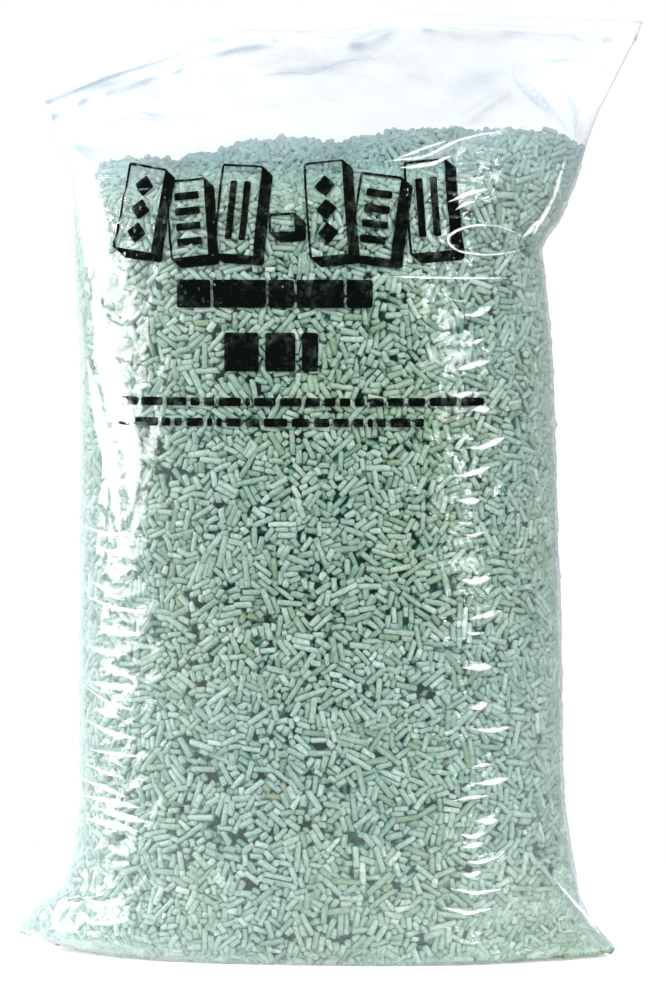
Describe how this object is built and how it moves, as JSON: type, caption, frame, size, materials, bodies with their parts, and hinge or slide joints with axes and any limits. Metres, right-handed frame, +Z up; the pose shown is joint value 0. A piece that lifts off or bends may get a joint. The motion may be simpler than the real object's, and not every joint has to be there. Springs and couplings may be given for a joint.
{
  "type": "cat litter bag",
  "caption": "Tall clear film bag packed with small cylindrical litter pellets, welded along its top, standing on its flat base.",
  "frame": {"origin": "centre of the flat base that the bag stands on", "axes": "+Z up from the base to the top weld; +X along the welds, to the right as the printed front is faced; -Y out of the printed front"},
  "size_m": [0.545, 0.254, 0.8142],
  "materials": {
    "film": "thin clear film, glossy, lightly creased, printed in black on the front",
    "pellet": "matt pressed fibre, pale grey-green"
  },
  "bodies": {
    "root": {"film_bag": "film", "pellet_fill": "pellet", "loose_pellet_01": "pellet", "loose_pellet_02": "pellet", "loose_pellet_03": "pellet", "loose_pellet_04": "pellet", "loose_pellet_05": "pellet", "loose_pellet_06": "pellet", "loose_pellet_07": "pellet", "loose_pellet_08": "pellet", "loose_pellet_09": "pellet", "loose_pellet_10": "pellet", "loose_pellet_11": "pellet", "loose_pellet_12": "pellet", "loose_pellet_13": "pellet", "loose_pellet_14": "pellet", "loose_pellet_15": "pellet", "loose_pellet_16": "pellet", "loose_pellet_17": "pellet", "loose_pellet_18": "pellet", "loose_pellet_19": "pellet", "loose_pellet_20": "pellet", "loose_pellet_21": "pellet", "loose_pellet_22": "pellet", "loose_pellet_23": "pellet", "loose_pellet_24": "pellet", "loose_pellet_25": "pellet", "loose_pellet_26": "pellet", "loose_pellet_27": "pellet", "loose_pellet_28": "pellet", "loose_pellet_29": "pellet", "loose_pellet_30": "pellet", "loose_pellet_31": "pellet", "loose_pellet_32": "pellet", "loose_pellet_33": "pellet", "loose_pellet_34": "pellet", "loose_pellet_35": "pellet", "loose_pellet_36": "pellet", "loose_pellet_37": "pellet", "loose_pellet_38": "pellet", "loose_pellet_39": "pellet", "loose_pellet_40": "pellet", "loose_pellet_41": "pellet", "loose_pellet_42": "pellet", "loose_pellet_43": "pellet", "loose_pellet_44": "pellet", "loose_pellet_45": "pellet", "loose_pellet_46": "pellet", "loose_pellet_47": "pellet", "loose_pellet_48": "pellet"}
  },
  "joints": []
}
